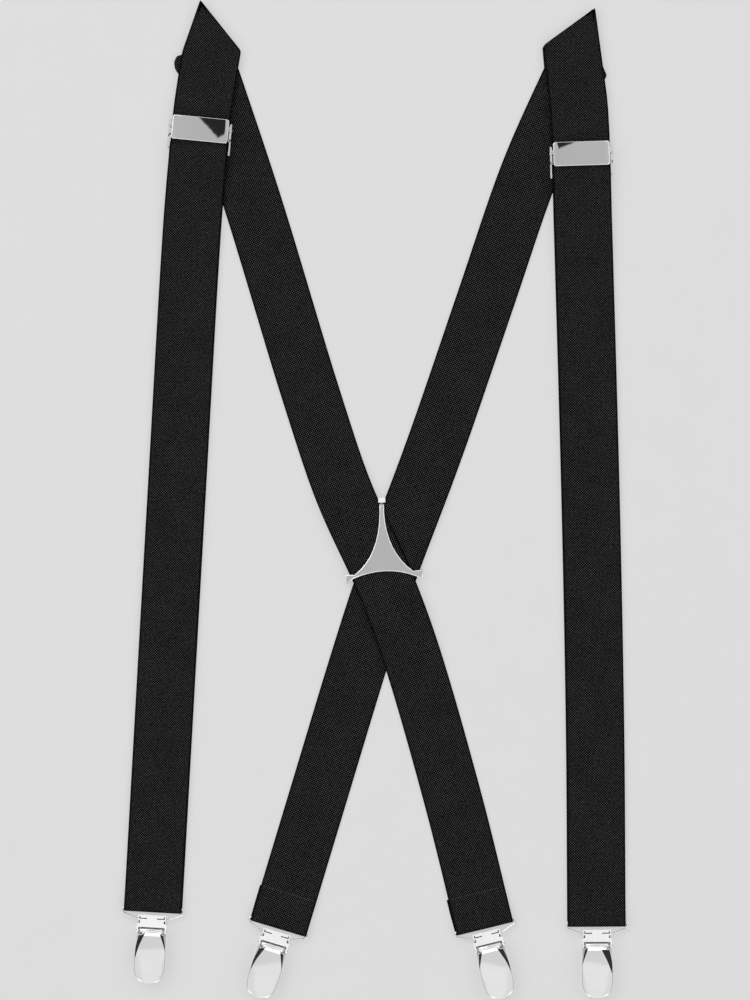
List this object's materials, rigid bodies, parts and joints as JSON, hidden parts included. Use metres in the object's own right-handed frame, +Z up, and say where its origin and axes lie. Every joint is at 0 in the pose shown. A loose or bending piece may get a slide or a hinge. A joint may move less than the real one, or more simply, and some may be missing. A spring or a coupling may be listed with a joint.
{
  "type": "suspenders",
  "caption": "X-back elastic suspenders with a metal crosspatch, cam adjusters on the front runs and sprung metal clips, laid flat with the shoulders folded over.",
  "frame": {"origin": "middle of the footprint, on the surface that the suspenders lie on", "axes": "+Y from the clips to the shoulders, +X to the right seen from above, +Z up, away from the surface"},
  "size_m": [0.306, 0.6025, 0.0091],
  "materials": {
    "webbing": "fine black twill elastic, matt",
    "chrome": "polished",
    "spring_steel": "bright",
    "grip_plastic": "moulded"
  },
  "bodies": {
    "back": {"left_strap_back": "webbing", "right_strap_back": "webbing", "left_strap_shoulder": "webbing", "right_strap_shoulder": "webbing", "crosspatch_front_plate": "chrome", "crosspatch_back_plate": "chrome"},
    "left_adjuster": {"left_adjuster_frame": "chrome", "left_adjuster_bar": "spring_steel", "left_adjuster_pin": "spring_steel"},
    "left_adjuster_cover": {"left_adjuster_cover": "chrome"},
    "left_front": {"left_strap_front": "webbing", "left_strap_return": "webbing"},
    "right_adjuster": {"right_adjuster_frame": "chrome", "right_adjuster_bar": "spring_steel", "right_adjuster_pin": "spring_steel"},
    "right_adjuster_cover": {"right_adjuster_cover": "chrome"},
    "right_front": {"right_strap_front": "webbing", "right_strap_return": "webbing"},
    "left_front_loop": {"left_front_clip_loop": "chrome"},
    "left_front_clip": {"left_front_clip_back_plate": "chrome", "left_front_clip_lower_pad": "grip_plastic", "left_front_clip_lever_pin": "spring_steel"},
    "left_front_clip_jaw": {"left_front_clip_front_jaw": "spring_steel", "left_front_clip_upper_pad": "grip_plastic"},
    "left_front_clip_lever": {"left_front_clip_lever": "chrome"},
    "right_front_loop": {"right_front_clip_loop": "chrome"},
    "right_front_clip": {"right_front_clip_back_plate": "chrome", "right_front_clip_lower_pad": "grip_plastic", "right_front_clip_lever_pin": "spring_steel"},
    "right_front_clip_jaw": {"right_front_clip_front_jaw": "spring_steel", "right_front_clip_upper_pad": "grip_plastic"},
    "right_front_clip_lever": {"right_front_clip_lever": "chrome"},
    "left_back_loop": {"left_back_clip_loop": "chrome"},
    "left_back_clip": {"left_back_clip_back_plate": "chrome", "left_back_clip_lower_pad": "grip_plastic", "left_back_clip_lever_pin": "spring_steel"},
    "left_back_clip_jaw": {"left_back_clip_front_jaw": "spring_steel", "left_back_clip_upper_pad": "grip_plastic"},
    "left_back_clip_lever": {"left_back_clip_lever": "chrome"},
    "right_back_loop": {"right_back_clip_loop": "chrome"},
    "right_back_clip": {"right_back_clip_back_plate": "chrome", "right_back_clip_lower_pad": "grip_plastic", "right_back_clip_lever_pin": "spring_steel"},
    "right_back_clip_jaw": {"right_back_clip_front_jaw": "spring_steel", "right_back_clip_upper_pad": "grip_plastic"},
    "right_back_clip_lever": {"right_back_clip_lever": "chrome"}
  },
  "joints": [
    {"name": "left_adjuster_slide", "type": "slide", "parent": "back", "child": "left_adjuster", "axis": [-0.0609, -0.9981, 0], "range_m": [-0.022, 0.5], "deforming": ["left_strap_shoulder", "left_strap_front", "left_strap_return"]},
    {"name": "left_front_slide", "type": "slide", "parent": "left_adjuster", "child": "left_front", "axis": [-0.0609, -0.9981, 0], "range_m": [-0.25, 0.011], "deforming": ["left_strap_front", "left_strap_return", "left_strap_shoulder"]},
    {"name": "left_adjuster_cover_tilt", "type": "hinge", "parent": "left_adjuster", "child": "left_adjuster_cover", "pos_m": [-0.10503, 0.22416, 0.0056], "axis": [-0.9955, 0.0952, 0], "range_deg": [0, 20]},
    {"name": "right_adjuster_slide", "type": "slide", "parent": "back", "child": "right_adjuster", "axis": [0.0202, -0.9998, 0], "range_m": [-0.022, 0.5], "deforming": ["right_strap_shoulder", "right_strap_front", "right_strap_return"]},
    {"name": "right_front_slide", "type": "slide", "parent": "right_adjuster", "child": "right_front", "axis": [0.0202, -0.9998, 0], "range_m": [-0.25, 0.011], "deforming": ["right_strap_front", "right_strap_return", "right_strap_shoulder"]},
    {"name": "right_adjuster_cover_tilt", "type": "hinge", "parent": "right_adjuster", "child": "right_adjuster_cover", "pos_m": [0.12469, 0.20943, 0.0056], "axis": [-0.9995, -0.0307, 0], "range_deg": [0, 20]},
    {"name": "left_front_loop_swing", "type": "hinge", "parent": "left_front", "child": "left_front_loop", "pos_m": [-0.13374, -0.24646, 0.0021], "axis": [-0.9984, 0.0566, 0], "range_deg": [-70, 45]},
    {"name": "left_front_clip_swing", "type": "hinge", "parent": "left_front_loop", "child": "left_front_clip", "pos_m": [-0.1341, -0.25275, 0.0021], "axis": [-0.9984, 0.0566, 0], "range_deg": [-60, 10]},
    {"name": "left_front_lever_lift", "type": "hinge", "parent": "left_front_clip", "child": "left_front_clip_lever", "pos_m": [-0.13447, -0.25934, 0.006], "axis": [-0.9984, 0.0566, 0], "range_deg": [0, 95]},
    {"name": "left_front_jaw_open", "type": "hinge", "parent": "left_front_clip", "child": "left_front_clip_jaw", "pos_m": [-0.13437, -0.25744, 0.0038], "axis": [-0.9984, 0.0566, 0], "range_deg": [0, 7]},
    {"name": "right_front_loop_swing", "type": "hinge", "parent": "right_front", "child": "right_front_loop", "pos_m": [0.13406, -0.25516, 0.0021], "axis": [-1, -0.0069, 0], "range_deg": [-70, 45]},
    {"name": "right_front_clip_swing", "type": "hinge", "parent": "right_front_loop", "child": "right_front_clip", "pos_m": [0.1341, -0.26146, 0.0021], "axis": [-1, -0.0069, 0], "range_deg": [-60, 10]},
    {"name": "right_front_lever_lift", "type": "hinge", "parent": "right_front_clip", "child": "right_front_clip_lever", "pos_m": [0.13415, -0.26806, 0.006], "axis": [-1, -0.0069, 0], "range_deg": [0, 95]},
    {"name": "right_front_jaw_open", "type": "hinge", "parent": "right_front_clip", "child": "right_front_clip_jaw", "pos_m": [0.13413, -0.26616, 0.0038], "axis": [-1, -0.0069, 0], "range_deg": [0, 7]},
    {"name": "left_back_loop_swing", "type": "hinge", "parent": "back", "child": "left_back_loop", "pos_m": [-0.05754, -0.25646, 0.0021], "axis": [-0.9575, 0.2885, 0], "range_deg": [-70, 45]},
    {"name": "left_back_clip_swing", "type": "hinge", "parent": "left_back_loop", "child": "left_back_clip", "pos_m": [-0.05936, -0.26249, 0.0021], "axis": [-0.9575, 0.2885, 0], "range_deg": [-60, 10]},
    {"name": "left_back_lever_lift", "type": "hinge", "parent": "left_back_clip", "child": "left_back_clip_lever", "pos_m": [-0.06127, -0.26881, 0.006], "axis": [-0.9575, 0.2885, 0], "range_deg": [0, 95]},
    {"name": "left_back_jaw_open", "type": "hinge", "parent": "left_back_clip", "child": "left_back_clip_jaw", "pos_m": [-0.06072, -0.26699, 0.0038], "axis": [-0.9575, 0.2885, 0], "range_deg": [0, 7]},
    {"name": "right_back_loop_swing", "type": "hinge", "parent": "back", "child": "right_back_loop", "pos_m": [0.06626, -0.25646, 0.0021], "axis": [-0.9706, -0.2407, 0], "range_deg": [-70, 45]},
    {"name": "right_back_clip_swing", "type": "hinge", "parent": "right_back_loop", "child": "right_back_clip", "pos_m": [0.06777, -0.26258, 0.0021], "axis": [-0.9706, -0.2407, 0], "range_deg": [-60, 10]},
    {"name": "right_back_lever_lift", "type": "hinge", "parent": "right_back_clip", "child": "right_back_clip_lever", "pos_m": [0.06936, -0.26898, 0.006], "axis": [-0.9706, -0.2407, 0], "range_deg": [0, 95]},
    {"name": "right_back_jaw_open", "type": "hinge", "parent": "right_back_clip", "child": "right_back_clip_jaw", "pos_m": [0.0689, -0.26714, 0.0038], "axis": [-0.9706, -0.2407, 0], "range_deg": [0, 7]}
  ],
  "couplings": [
    {"joint": "left_front_slide", "follows": "left_adjuster_slide", "ratio": -0.5},
    {"joint": "right_front_slide", "follows": "right_adjuster_slide", "ratio": -0.5},
    {"joint": "left_front_jaw_open", "follows": "left_front_lever_lift", "ratio": 0.073684},
    {"joint": "right_front_jaw_open", "follows": "right_front_lever_lift", "ratio": 0.073684},
    {"joint": "left_back_jaw_open", "follows": "left_back_lever_lift", "ratio": 0.073684},
    {"joint": "right_back_jaw_open", "follows": "right_back_lever_lift", "ratio": 0.073684}
  ]
}
